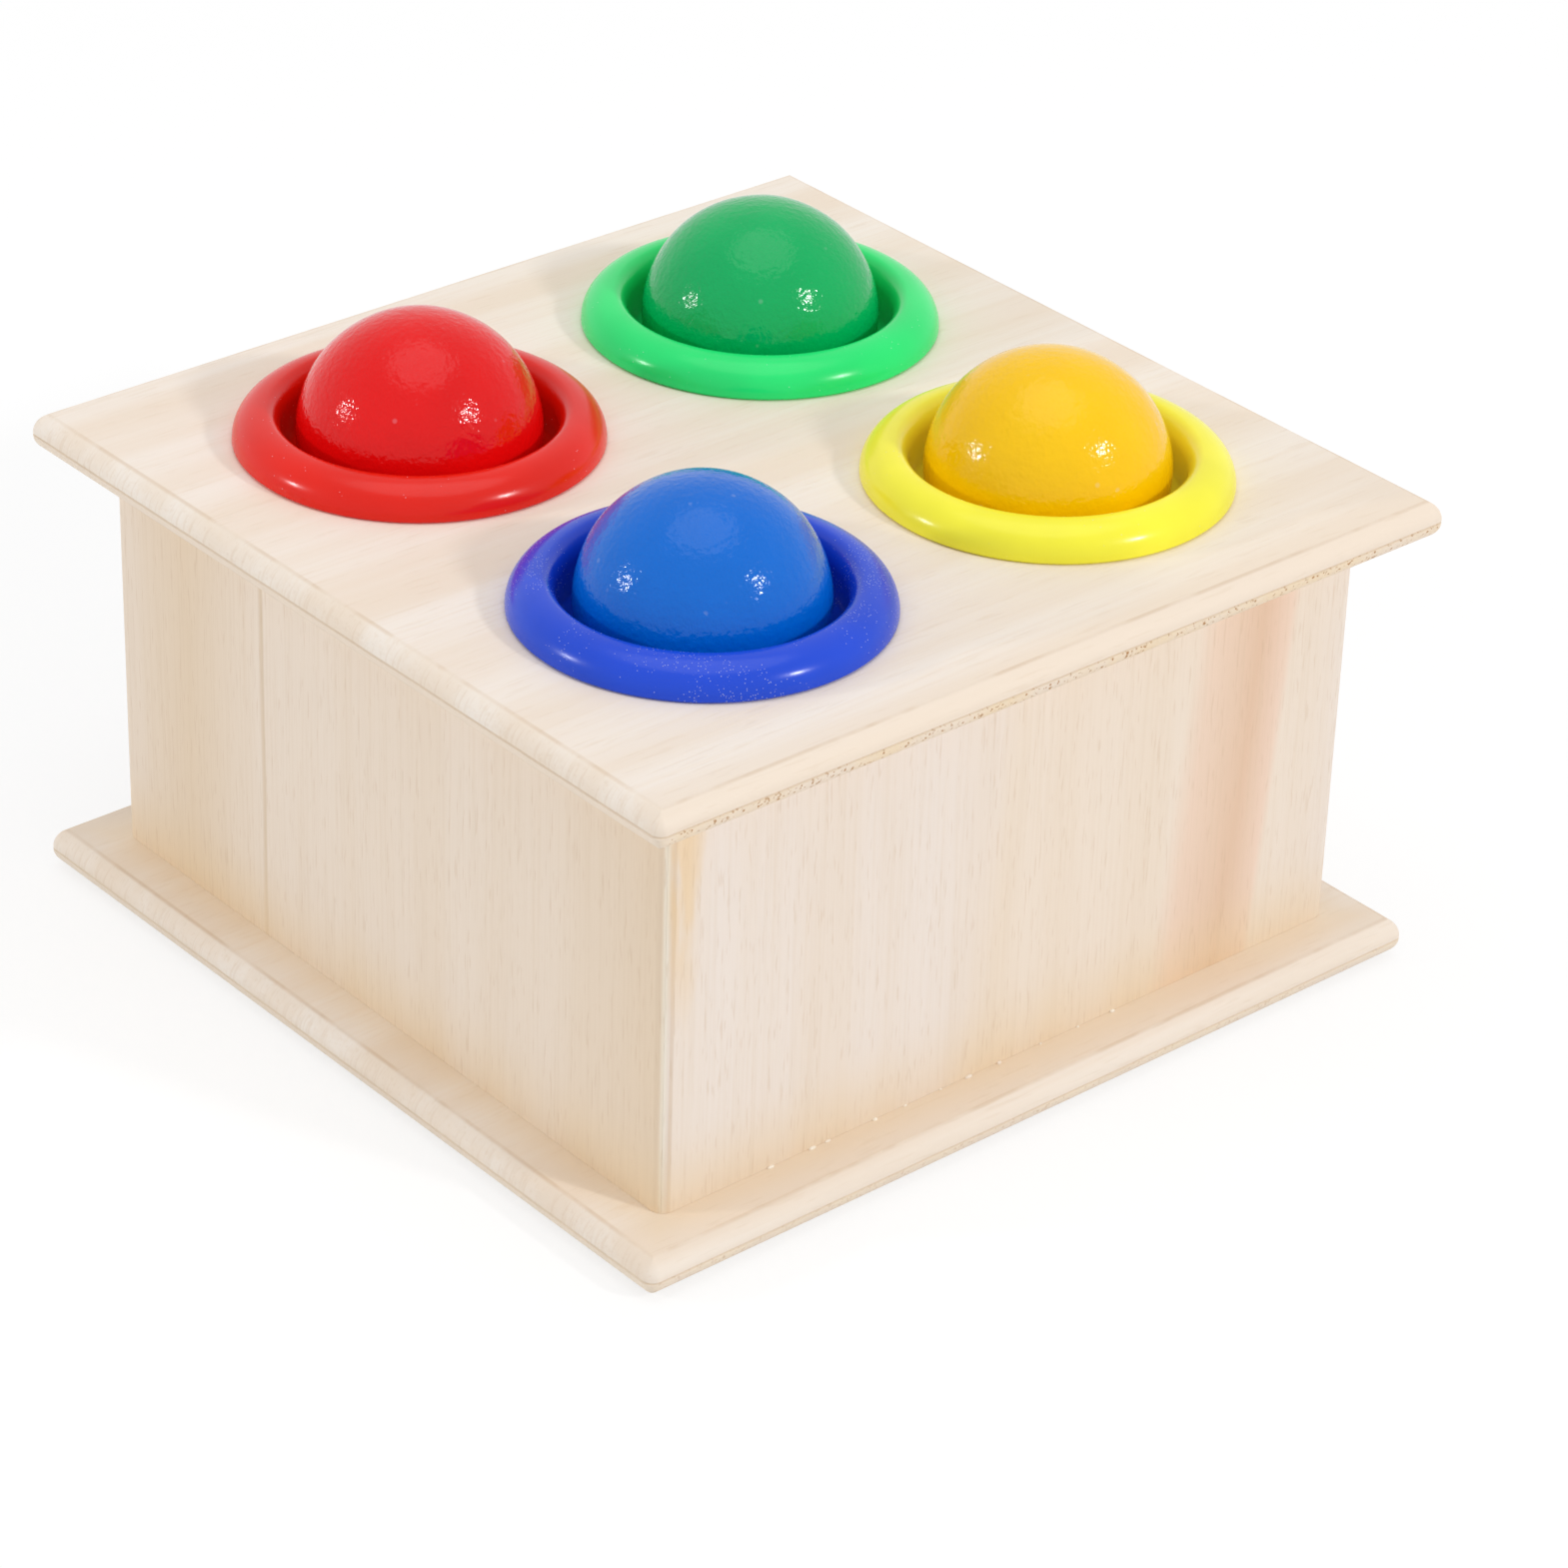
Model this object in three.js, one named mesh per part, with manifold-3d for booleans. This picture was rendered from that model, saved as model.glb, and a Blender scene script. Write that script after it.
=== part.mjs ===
// Pounding bench: a small wooden box with four painted balls seated in coloured plastic rings.
// A tap sends a ball down through its ring into the box, and the ball leaves by the open back.
// Millimetres, +Z up. The origin is the middle of the base's underside, and the back faces +Y.
import * as THREE from "three";
import { mergeVertices } from "three/addons/utils/BufferGeometryUtils.js";
import Module from "manifold-3d";

// Boards: two square sheets of thin plywood with rounded edges
const boardSide = 110;
const boardThickness = 4.8;
const boardEdgeRound = 1.6;
const topCornerRadius = 1.8;
const baseCornerRadius = 2;

// Box: three walls glued between the boards, mitred at the two front corners
const boxHeight = 58;
const boardOverhang = 6.5;
const wallThickness = 7;
const wallArris = 1.6;

// Rings: a bullnose flange on the board, a sleeve through it and a flexible lip inside
const lipDiameter = 25.8;
const rimDiameter = 30.4;
const sleeveDiameter = 33;
const flangeDiameter = 41;
const flangeCrest = 3.8;
const rimRise = 1.2;
const lipDrop = 4.2;
const seatDrop = 2.4;
const sleeveClearance = 0.3;
const holeToWall = 0.4;

// Balls: each rests on the lip of its ring
const ballDiameter = 27.2;
const ballClearance = 0.3;

// Facets of the round pieces: an arc in an outline takes two steps for each one named here
const cornerSteps = 3;
const edgeSteps = 4;
const flangeSteps = 2;
const ringSides = 36;
const ballSides = 24;
const ballRows = 12;

// Sizes that follow from the ones above
const ballRadius = ballDiameter / 2;
const lipRadius = lipDiameter / 2;
const bodySide = boardSide - 2 * boardOverhang;
const wallHeight = boxHeight - 2 * boardThickness;
const holeRadius = sleeveDiameter / 2 + sleeveClearance;
const ringOffset = bodySide / 2 - wallThickness - holeToWall - holeRadius;
const ballSeatReach = ballRadius + ballClearance;
const ballHeight = boxHeight - lipDrop + Math.sqrt(ballSeatReach ** 2 - lipRadius ** 2);

// Each station has its own colours for the ball and the ring
const stations = [
  { name: "red", column: -1, row: 1, ball: 0xc8201c, ring: 0xd8251c },
  { name: "green", column: 1, row: 1, ball: 0x0a9a50, ring: 0x22c866 },
  { name: "blue", column: -1, row: -1, ball: 0x0458b4, ring: 0x2546cc },
  { name: "yellow", column: 1, row: -1, ball: 0xf2b40f, ring: 0xf2e23c },
];

const plywood = { color: 0xeadcc8, roughness: 0.62, metalness: 0 };
const poplar = { color: 0xe8d5be, roughness: 0.6, metalness: 0 };
const paint = { roughness: 0.22, metalness: 0 };
const plastic = { roughness: 0.28, metalness: 0 };

const wasm = await Module();
wasm.setup();

// A three.js geometry as a closed solid
function solidOf(geometry) {
  const bare = geometry.clone();
  bare.deleteAttribute("normal");
  bare.deleteAttribute("uv");
  const merged = mergeVertices(bare, 1e-4);
  return new wasm.Manifold(
    new wasm.Mesh({
      numProp: 3,
      vertProperties: new Float32Array(merged.attributes.position.array),
      triVerts: new Uint32Array(merged.index.array),
    }),
  );
}

// A closed solid as a three.js geometry
function geometryOf(solid) {
  const mesh = solid.getMesh();
  const geometry = new THREE.BufferGeometry();
  geometry.setAttribute("position", new THREE.BufferAttribute(mesh.vertProperties, 3));
  geometry.setIndex(new THREE.BufferAttribute(mesh.triVerts, 1));
  geometry.computeVertexNormals();
  return geometry;
}

function piece(name, geometry, finish) {
  const mesh = new THREE.Mesh(geometry, new THREE.MeshStandardMaterial(finish));
  mesh.name = name;
  return mesh;
}

// A square sheet with rounded corners and rounded edges, standing on z = 0
function boardGeometry(cornerRadius) {
  const half = boardSide / 2;
  const inner = half - cornerRadius;
  const outline = new THREE.Shape();
  outline.absarc(inner, inner, cornerRadius, 0, Math.PI / 2);
  outline.absarc(-inner, inner, cornerRadius, Math.PI / 2, Math.PI);
  outline.absarc(-inner, -inner, cornerRadius, Math.PI, 1.5 * Math.PI);
  outline.absarc(inner, -inner, cornerRadius, 1.5 * Math.PI, 2 * Math.PI);
  const sheet = new THREE.ExtrudeGeometry(outline, {
    depth: boardThickness - 2 * boardEdgeRound,
    bevelThickness: boardEdgeRound,
    bevelSize: boardEdgeRound,
    bevelOffset: -boardEdgeRound,
    bevelSegments: edgeSteps,
    curveSegments: cornerSteps,
  });
  return sheet.translate(0, 0, boardEdgeRound);
}

// The top board has a round hole under each ring
function topBoardGeometry() {
  const drill = new THREE.CylinderGeometry(holeRadius, holeRadius, 3 * boardThickness, ringSides);
  drill.rotateX(Math.PI / 2);
  const hole = solidOf(drill);
  let board = solidOf(boardGeometry(topCornerRadius));
  for (const station of stations) {
    const [x, y] = stationPlace(station);
    board = board.subtract(hole.translate([x, y, 0]));
  }
  return geometryOf(board);
}

function stationPlace(station) {
  return [station.column * ringOffset, station.row * ringOffset];
}

// A wall's plan runs from its mitre line to the other end, and is raised to the wall's height
function wallGeometry(outline) {
  return new THREE.ExtrudeGeometry(outline, {
    depth: wallHeight,
    bevelEnabled: false,
    curveSegments: cornerSteps,
  });
}

// The front wall has a mitre at both ends, with half of each rounded corner
function frontWallGeometry() {
  const outer = bodySide / 2;
  const inner = outer - wallThickness;
  const centre = outer - wallArris;
  const outline = new THREE.Shape();
  outline.moveTo(inner, -inner);
  outline.lineTo(-inner, -inner);
  outline.absarc(-centre, -centre, wallArris, 1.25 * Math.PI, 1.5 * Math.PI);
  outline.absarc(centre, -centre, wallArris, 1.5 * Math.PI, 1.75 * Math.PI);
  outline.closePath();
  return wallGeometry(outline);
}

// The left wall has a mitre at the front and a square end at the back, and mirrors to the right
function leftWallGeometry() {
  const outer = bodySide / 2;
  const inner = outer - wallThickness;
  const centre = outer - wallArris;
  const outline = new THREE.Shape();
  outline.moveTo(-inner, -inner);
  outline.lineTo(-inner, outer);
  outline.absarc(-centre, centre, wallArris, Math.PI / 2, Math.PI);
  outline.absarc(-centre, -centre, wallArris, Math.PI, 1.25 * Math.PI);
  outline.closePath();
  return wallGeometry(outline);
}

// A ring's section, with z = 0 on the board's upper face
function ringGeometry() {
  const rimRadius = rimDiameter / 2;
  const sleeveRadius = sleeveDiameter / 2;
  const flangeRadius = flangeDiameter / 2;
  const crestRadius = (rimRadius + flangeRadius) / 2;
  const halfWidth = (flangeRadius - rimRadius) / 2;
  const section = new THREE.Path();
  section.moveTo(sleeveRadius, 0);
  section.lineTo(flangeRadius, 0);
  section.absellipse(crestRadius, 0, halfWidth, flangeCrest, 0, Math.PI / 2);
  section.absellipse(crestRadius, rimRise, halfWidth, flangeCrest - rimRise, Math.PI / 2, Math.PI);
  section.lineTo(rimRadius, -seatDrop);
  section.lineTo(lipRadius, -lipDrop);
  section.lineTo(lipRadius, -boardThickness);
  section.lineTo(sleeveRadius, -boardThickness);
  section.closePath();
  const ring = new THREE.LatheGeometry(section.getPoints(flangeSteps), ringSides);
  return ring.rotateX(Math.PI / 2);
}

function ballGeometry() {
  const ball = new THREE.SphereGeometry(ballRadius, ballSides, ballRows);
  return ball.rotateX(Math.PI / 2);
}

const bench = new THREE.Group();
bench.name = "pounding_bench";

const baseBoard = piece("base_board", boardGeometry(baseCornerRadius), plywood);
const topBoard = piece("top_board", topBoardGeometry(), plywood);
topBoard.position.z = boxHeight - boardThickness;
bench.add(baseBoard, topBoard);

const walls = new THREE.Group();
walls.position.z = boardThickness;
const rightWall = piece("right_wall", leftWallGeometry(), poplar);
rightWall.scale.x = -1;
walls.add(piece("front_wall", frontWallGeometry(), poplar));
walls.add(piece("left_wall", leftWallGeometry(), poplar));
walls.add(rightWall);
bench.add(walls);

for (const station of stations) {
  const [x, y] = stationPlace(station);
  const ring = piece(station.name + "_ring", ringGeometry(), { ...plastic, color: station.ring });
  const ball = piece(station.name + "_ball", ballGeometry(), { ...paint, color: station.ball });
  ring.position.set(x, y, boxHeight);
  ball.position.set(x, y, ballHeight);
  bench.add(ring, ball);
}

export default bench;
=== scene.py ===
"""Pounding bench: a square wooden box whose painted balls are tapped down through plastic rings."""

import math
import random

import bmesh
import bpy
from bpy.props import FloatProperty, FloatVectorProperty, PointerProperty
from mathutils import Matrix, Vector, noise


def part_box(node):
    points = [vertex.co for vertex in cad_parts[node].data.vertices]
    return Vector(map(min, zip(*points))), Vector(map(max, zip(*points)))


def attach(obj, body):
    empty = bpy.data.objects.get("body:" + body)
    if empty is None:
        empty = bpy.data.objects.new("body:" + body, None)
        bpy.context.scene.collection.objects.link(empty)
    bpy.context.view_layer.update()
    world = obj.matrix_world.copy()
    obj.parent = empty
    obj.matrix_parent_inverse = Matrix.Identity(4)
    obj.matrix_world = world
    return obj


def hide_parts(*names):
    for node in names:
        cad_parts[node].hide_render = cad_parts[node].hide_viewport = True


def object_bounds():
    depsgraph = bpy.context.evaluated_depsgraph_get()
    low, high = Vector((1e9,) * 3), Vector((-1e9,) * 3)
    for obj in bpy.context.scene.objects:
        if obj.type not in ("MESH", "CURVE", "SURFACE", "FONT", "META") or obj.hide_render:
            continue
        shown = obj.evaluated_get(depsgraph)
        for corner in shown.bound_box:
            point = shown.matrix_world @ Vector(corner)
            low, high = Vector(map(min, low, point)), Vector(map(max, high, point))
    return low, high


bl_info = {
    "name": "Pounding bench",
    "version": (1, 0, 0),
    "blender": (4, 5, 0),
    "location": "View3D > Sidebar > Bench",
    "description": "Builds a wooden pounding bench with its rings, balls and studio",
    "category": "Object",
}

# The frame, and the sizes that come from it
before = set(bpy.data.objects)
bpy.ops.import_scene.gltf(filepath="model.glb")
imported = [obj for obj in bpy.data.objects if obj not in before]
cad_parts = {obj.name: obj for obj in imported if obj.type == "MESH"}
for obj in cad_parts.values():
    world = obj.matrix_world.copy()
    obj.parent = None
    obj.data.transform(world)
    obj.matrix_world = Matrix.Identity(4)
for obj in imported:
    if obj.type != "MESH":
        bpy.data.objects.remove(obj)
CAD_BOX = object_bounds()
TOP_LOW, TOP_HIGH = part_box("top_board")
BASE_LOW, BASE_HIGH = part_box("base_board")
LEFT_LOW, LEFT_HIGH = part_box("left_wall")
BOARD_THICKNESS = TOP_HIGH.z - TOP_LOW.z
WALL_OUTER = -LEFT_LOW.x
WALL_INNER = -LEFT_HIGH.x
STATIONS = ("red", "green", "blue", "yellow")
ROOT_BODY = "box"

# Units, and how finely the pieces are meshed
MM = 0.001
CORNER_STEPS = 12
EDGE_STEPS = 8
ARRIS_STEPS = 5
HOLE_SIDES = 96
RING_SIDES = 144
RING_STEPS = 14
BALL_CUTS = 39
FLOOR_SIDES = 96
SHARP_ANGLE = math.radians(34)

# Shapes that a user has no need to change
EDGE_TURN = math.radians(35)
LEAST_CORNER = 0.1 * MM
RING_SOFTENING = 0.3 * MM
STRAY_LUMPS = 2.3
STRAY_SHIFT = 100

# Beads of glue: their row along the front wall, then shares of a step or of a bead's radius
BEAD_COUNT = 11
BEAD_SEED = 5
BEAD_ROW = (-34.0 * MM, 14.0 * MM)
BEAD_JITTER = 0.3
BEAD_LEAST = 0.45
BEAD_STRETCH = (1.0, 1.9)
BEAD_DEPTH = 0.8
BEAD_HEIGHT = 0.7
BEAD_OUT = 0.3
BEAD_RISE = 0.25

# Sockets of the Mix node by number: two values, two colours and the mixed colour
MIX_VALUES = (2, 3)
MIX_COLOURS = (6, 7)
MIXED_COLOUR = 2

# Patterns, in lumps a metre along each axis; the grain group's third axis is along the grain
GRAIN_SWAY = (26.0, 26.0, 10.0)
GRAIN_TONE = (120.0, 120.0, 5.0)
GRAIN_FIBRE = (1500.0, 1500.0, 26.0)
GRAIN_PORES = (2300.0, 2300.0, 190.0)
SPECK_PATCHES = (150.0, 150.0, 150.0)
PLY_WAVES = (160.0, 160.0, 0.0)
CUT_TICKS = (300.0, 2600.0, 120.0)
STRIPE_DRIFT = (60.0, 60.0, 14.0)
SAP_RAGS = (420.0, 420.0, 90.0)

# Pebbles, specks and wrinkles in a metre, and lumps of a gloss skin for each of its pebbles
PAINT_PEBBLES = 1250.0
PAINT_SPECKS = 900.0
PLASTIC_PEBBLES = 600.0
PLASTIC_SPECKS = 4600.0
GLUE_WRINKLES = 5000.0
END_PITS = 1500.0
SKIN_PEBBLES = (1.0, 1.0, 1.0)
SKIN_MOTTLE = (0.11, 0.11, 0.11)

# Noise levels between which each pattern grows from nothing to full
NOISE_MIDDLE = (0.5, 0.5, 0.5)
TONE_LEVELS = (0.32, 0.68)
FIBRE_LEVELS = (0.42, 0.72)
PORE_LEVELS = (0.60, 0.72)
PATCH_LEVELS = (0.42, 0.72)
MOTTLE_LEVELS = (0.3, 0.7)
TICK_LEVELS = (0.52, 0.66)
FRAY_LEVELS = (0.4, 0.65)
RAG_LEVELS = (0.36, 0.6)
# Noise levels that make the painted shade along the walls' foot uneven
FOOT_SHADE_LEVELS = (0.2, 0.6)

# A speck's edge and its full middle, as shares of its cell
SPECK_EDGE = (0.34, 0.12)

# How squarely a cut face looks along an axis, from where it starts to show to where it shows fully
CUT_FACING = (0.5, 0.8)
END_FACING = (0.5, 0.85)

# Plies of the boards: sizes, fineness of the grain, then shares of colour
PLY_SWING = 0.3 * MM
PLY_BLUR = 0.06 * MM
UNDER_PLY = 0.3 * MM
# Reach of the glue line, darkened also as painted shade in the notch
GLUE_LINE_SHADE_REACH = 0.2 * MM
FRAY_REACH = (0.35 * MM, 0.05 * MM)
# How far the painted shade spreads on the base board from the walls' foot
FOOT_SHADE_SPREAD = 5.0 * MM
FACE_FINENESS = 1.0
CORE_FINENESS = 1.1
PLY_FIBRE = 0.4
PLY_PORES = 0.1
TICK_SHARE = 0.15
FRAY_SHARES = (0.05, 0.35)
# Share of the glue line and of its painted shade in the notch
GLUE_LINE_SHADE_SHARE = 0.3
END_WARMTH = 0.4
TOP_END_PORES = 0.9
BASE_END_PORES = 0.25
# Share of painted shade on the base board by the walls
BASE_SHADE = 0.3

# How far the grain of any wood wanders
GRAIN_SWING = 2.2 * MM

# Wood of the walls: sizes from the near arris or the floor, lean and fineness, then shares of colour, among
# them a painted highlight along the near arris and painted shade along the foot
STRIPE_SWING = 2.0 * MM
SEAM_PLACE = 1.15 * MM
SEAM_REACH = (0.3 * MM, 0.1 * MM)
SAP_START = 2.5 * MM
SAP_END = 6.5 * MM
SAP_FOOT = 22.0 * MM
SAP_HEAD = 44.0 * MM
# Reach of the painted highlight along the near arris
ARRIS_HIGHLIGHT_REACH = (0.5 * MM, 0.9 * MM)
# Height of the painted shade along the walls' foot
FOOT_SHADE_HEIGHT = 11.0 * MM
HEART_LEAN = -0.085
WALL_FINENESS = 1.5
WALL_TONE = 0.3
WALL_FIBRE = 0.16
WALL_PORES = 0.2
SEAM_SHARE = 0.3
SAP_SHARE = 0.55
RAG_SHARES = (0.15, 1.0)
# Share of the painted highlight along the near arris
ARRIS_HIGHLIGHT_SHARE = 0.7
# Shares of the painted shade along the foot: its strength, then how it varies
FOOT_SHADE_SHARE = 0.45
FOOT_SHADE_SHARES = (0.4, 1.0)

# Wear of the gloss finishes, as shares of specks, of dust and of deeper colour
BALL_WEAR = 0.06
RING_WEAR = {"red": 0.03, "green": 0.03, "blue": 0.6, "yellow": 0.03}
PAINT_DUST = 0.12
PLASTIC_DUST = 0.6
DUST_ROUGHNESS = 0.3
PAINT_DEPTH = 0.95
PLASTIC_DEPTH = 0.9

# Finishes: specular level, roughness at the smoothest and dullest spots, and relief as depth and strength
WOOD_SPECULAR = 0.3
PAINT_SPECULAR = 0.25
PLASTIC_SPECULAR = 0.3
GLUE_SPECULAR = 0.5
BOARD_ROUGHNESS = (0.52, 0.68)
WALL_ROUGHNESS = (0.5, 0.66)
PAINT_ROUGHNESS = (0.1, 0.12)
PLASTIC_ROUGHNESS = (0.19, 0.24)
GLUE_ROUGHNESS = (0.2, 0.4)
WOOD_RELIEF = (0.04 * MM, 0.25)
PAINT_RELIEF = (0.13 * MM, 0.8)
PLASTIC_RELIEF = (0.04 * MM, 0.3)
GLUE_RELIEF = (0.05 * MM, 0.4)
PORE_DEPTH = 1.2

# Studio in metres, with a lamp's direction as shares of the camera's right, up and back
LEFT_AIM = (-0.92, 0.21, 0.33)
RIGHT_AIM = (0.74, 0.2, 0.64)
SIDE_REACH = 1.2
TOP_REACH = 1.1
LEFT_LAMP_SIZE = 0.08
RIGHT_LAMP_SIZE = 0.1
TOP_LAMP_SIZE = 1.0
FLOOR_RADIUS = 6.0
FLOOR_DROP = 0.1 * MM
CLIP_START = 0.01

# Floor's share of the light that it bounces and that it shows, and its own glow
FLOOR_BOUNCE = 0.86
FLOOR_SHADE = 0.3
FLOOR_GLOW = 0.72

# Camera's sensor in millimetres
SENSOR_WIDTH = 36.0

# Stripes of wood across each wall, as a share of its width and the colour at that place
FRONT_STRIPES = (
    (0.0, "wall_pale"),
    (0.44, "wall_pale"),
    (0.48, "wall_cream"),
    (0.735, "wall_cream"),
    (0.765, "wall_heart"),
    (0.84, "wall_heart_deep"),
    (0.885, "wall_heart"),
    (0.897, "wall_cream"),
    (1.0, "wall_pale"),
)
LEFT_STRIPES = (
    (0.0, "wall_tan"),
    (0.22, "wall_cream"),
    (0.711, "wall_cream"),
    (0.716, "wall_seam"),
    (0.721, "wall_cream"),
    (0.86, "wall_tan"),
    (1.0, "wall_cream"),
)
RIGHT_STRIPES = (
    (0.0, "wall_pale"),
    (0.3, "wall_cream"),
    (0.62, "wall_pale"),
    (1.0, "wall_cream"),
)


def linear(red, green, blue):
    """A screen colour, each part from 0 to 255, as linear light."""
    parts = (red / 255, green / 255, blue / 255)
    return tuple(((part + 0.055) / 1.055) ** 2.4 if part > 0.04 else part / 12.92 for part in parts)


def length(name, description, millimetres):
    """A length that a user can change."""
    return FloatProperty(
        name=name,
        description=description,
        default=millimetres * MM,
        min=0.0,
        precision=5,
        subtype="DISTANCE",
        unit="LENGTH",
    )


def colour(name, description, red, green, blue):
    """A colour that a user can change, given as it looks on a screen."""
    return FloatVectorProperty(
        name=name,
        description=description,
        default=linear(red, green, blue),
        min=0.0,
        max=1.0,
        size=3,
        subtype="COLOR",
    )


def angle(name, description, degrees):
    """An angle that a user can change."""
    return FloatProperty(name=name, description=description, default=math.radians(degrees), subtype="ANGLE")


def watts(name, description, power):
    """A lamp's power that a user can change."""
    return FloatProperty(
        name=name,
        description=description,
        default=power,
        min=0.0,
        subtype="POWER",
        unit="POWER",
    )


class BenchSizes(bpy.types.PropertyGroup):
    """Sizes that the frame's boxes don't give."""

    top_corner: length("Top corner", "Radius of the top board's corners in plan", 1.2)
    base_corner: length("Base corner", "Radius of the base board's corners in plan", 1.4)
    upper_inset: length("Upper inset", "How far the boards' upper edges round in", 1.6)
    lower_ply: length("Lower ply", "Height of the crossing ply above the underside", 2.45)
    notch: length("Notch", "Depth of the notch at the glue line in the boards' edges", 0.16)
    under_inset: length("Under inset", "How far the boards' lower edges round in", 2.2)
    wall_arris: length("Wall arris", "Radius of the upright corners", 1.6)
    softening: length("Softening", "Bevel on the walls' cut edges", 0.05)
    hole_radius: length("Hole radius", "Radius of the holes in the top board", 16.8)
    hole_softening: length("Hole softening", "Bevel on the edges of the holes", 0.16)
    sleeve_radius: length("Sleeve radius", "Outer radius of a ring's sleeve", 16.5)
    rim_radius: length("Rim radius", "Inner radius of a ring's flange", 15.2)
    crest_place: length("Crest place", "From a ring's inner rim out to its crest", 1.6)
    rim_rise: length("Rim rise", "Height of the inner rim above the board", 1.2)
    lip_radius: length("Lip radius", "Inner radius of a ring's lip", 12.9)
    lip_drop: length("Lip drop", "Depth of the lip's edge below the board's face", 4.2)
    seat_drop: length("Seat drop", "Depth where the lip starts below the board's face", 2.4)
    unevenness: length("Unevenness", "How far a ball's skin strays from a true round", 0.05)
    bead: length("Glue bead", "Radius of the largest bead of dried glue", 0.32)


class BenchColours(bpy.types.PropertyGroup):
    """Colours of the woods, paints and plastics."""

    board_pale: colour("Board pale", "Early wood of the boards", 245, 235, 224)
    board_dark: colour("Board dark", "Late wood of the boards", 239, 223, 205)
    board_pore: colour("Board pore", "Pores and fibres of the boards", 205, 172, 132)
    core_pale: colour("Core pale", "Crossing ply in the boards' edges", 243, 229, 209)
    core_pore: colour("Core pore", "Open pores of the crossing ply", 176, 122, 58)
    # Glue line between plies, darker also as painted shade in the notch at that height
    glue_line_and_shade: colour("Glue line", "Line between two plies", 206, 184, 150)
    wall_pale: colour("Wall pale", "Palest stripe of the walls", 241, 229, 219)
    wall_cream: colour("Wall cream", "Cream stripe of the walls", 242, 227, 211)
    wall_tan: colour("Wall tan", "Darker stripe of the left wall", 235, 214, 188)
    wall_seam: colour("Wall seam", "Glued seam in the left wall", 219, 196, 167)
    wall_heart: colour("Wall heart", "Pink heartwood stripe", 242, 214, 194)
    wall_heart_deep: colour("Wall heart deep", "Edge of the heartwood stripe", 230, 192, 164)
    wall_sap: colour("Wall sap", "Resin streak by the near corner", 240, 203, 143)
    wall_pore: colour("Wall pore", "Pores and fibres of the walls", 204, 170, 134)
    # Painted shade: a warmer, darker colour along the walls' foot and on the base board beside them, where
    # the walls meet the board
    wall_foot_shade: colour("Wall foot", "Warm stain along the foot of the walls", 240, 213, 170)
    # The glue's colour, used also for the painted highlight along the walls' near arris
    dried_glue: colour("Dried glue", "Beads of glue along the foot of the front wall", 252, 244, 228)
    red_paint: colour("Red paint", "Paint of the red ball", 234, 10, 12)
    green_paint: colour("Green paint", "Paint of the green ball", 0, 178, 97)
    blue_paint: colour("Blue paint", "Paint of the blue ball", 0, 108, 212)
    yellow_paint: colour("Yellow paint", "Paint of the yellow ball", 255, 202, 0)
    red_plastic: colour("Red plastic", "Plastic of the red ring", 234, 26, 6)
    green_plastic: colour("Green plastic", "Plastic of the green ring", 34, 234, 122)
    blue_plastic: colour("Blue plastic", "Plastic of the blue ring", 24, 74, 216)
    yellow_plastic: colour("Yellow plastic", "Plastic of the yellow ring", 255, 248, 62)
    dust: colour("Dust", "Specks and scuffs on the rings", 214, 220, 236)


class BenchStudio(bpy.types.PropertyGroup):
    """The camera and the lamps."""

    azimuth: angle("Azimuth", "Turn of the camera round the bench", -41.168)
    elevation: angle("Elevation", "Camera's height above the horizon", 30.486)
    roll: angle("Roll", "Camera's lean", 1.846)
    distance: length("Distance", "From the camera to its target", 610.0)
    lens: FloatProperty(name="Lens", description="Focal length in millimetres", default=124.3, min=1.0)
    target: FloatVectorProperty(
        name="Target",
        description="Point that the camera looks at",
        default=(4.36 * MM, -5.27 * MM, 17.5 * MM),
        size=3,
        subtype="TRANSLATION",
        unit="LENGTH",
    )
    left_power: watts("Left lamp", "Power of the left softbox", 2.5)
    right_power: watts("Right lamp", "Power of the right softbox", 4.0)
    top_power: watts("Top lamp", "Power of the overhead softbox", 3.0)
    sky: FloatProperty(name="Sky", description="Level of the light from all round", default=0.595, min=0.0)


# Shader nodes


def set_inputs(tree, node, inputs):
    """Sets or links a node's inputs by name or number."""
    for key, value in inputs.items():
        if isinstance(value, bpy.types.NodeSocket):
            tree.links.new(value, node.inputs[key])
        else:
            node.inputs[key].default_value = value


def put(tree, kind, inputs=None, **settings):
    """Adds a node, and sets its options and inputs."""
    node = tree.nodes.new(kind)
    for key, value in settings.items():
        setattr(node, key, value)
    set_inputs(tree, node, inputs or {})
    return node


def reckon(tree, operation, first, second=0.0):
    """One sum on two values."""
    return put(tree, "ShaderNodeMath", {0: first, 1: second}, operation=operation).outputs[0]


def times(tree, first, second):
    """The product of two values."""
    return reckon(tree, "MULTIPLY", first, second)


def distance_from(tree, value, place):
    """How far a value lies from a place, on either side."""
    return reckon(tree, "ABSOLUTE", reckon(tree, "SUBTRACT", value, place))


def remap(tree, value, low, high, to_low=0.0, to_high=1.0):
    """A smooth ramp of a value from one range to another."""
    inputs = {"Value": value, "From Min": low, "From Max": high, "To Min": to_low, "To Max": to_high}
    return put(tree, "ShaderNodeMapRange", inputs, interpolation_type="SMOOTHSTEP").outputs["Result"]


def between(tree, factor, first, second):
    """A value between two others."""
    low, high = MIX_VALUES
    return put(tree, "ShaderNodeMix", {0: factor, low: first, high: second}, data_type="FLOAT").outputs[0]


def blend(tree, factor, first, second):
    """A colour between two others."""
    inputs = {0: factor}
    for index, value in zip(MIX_COLOURS, (first, second)):
        inputs[index] = value if isinstance(value, bpy.types.NodeSocket) else (*value, 1.0)
    return put(tree, "ShaderNodeMix", inputs, data_type="RGBA").outputs[MIXED_COLOUR]


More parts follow.
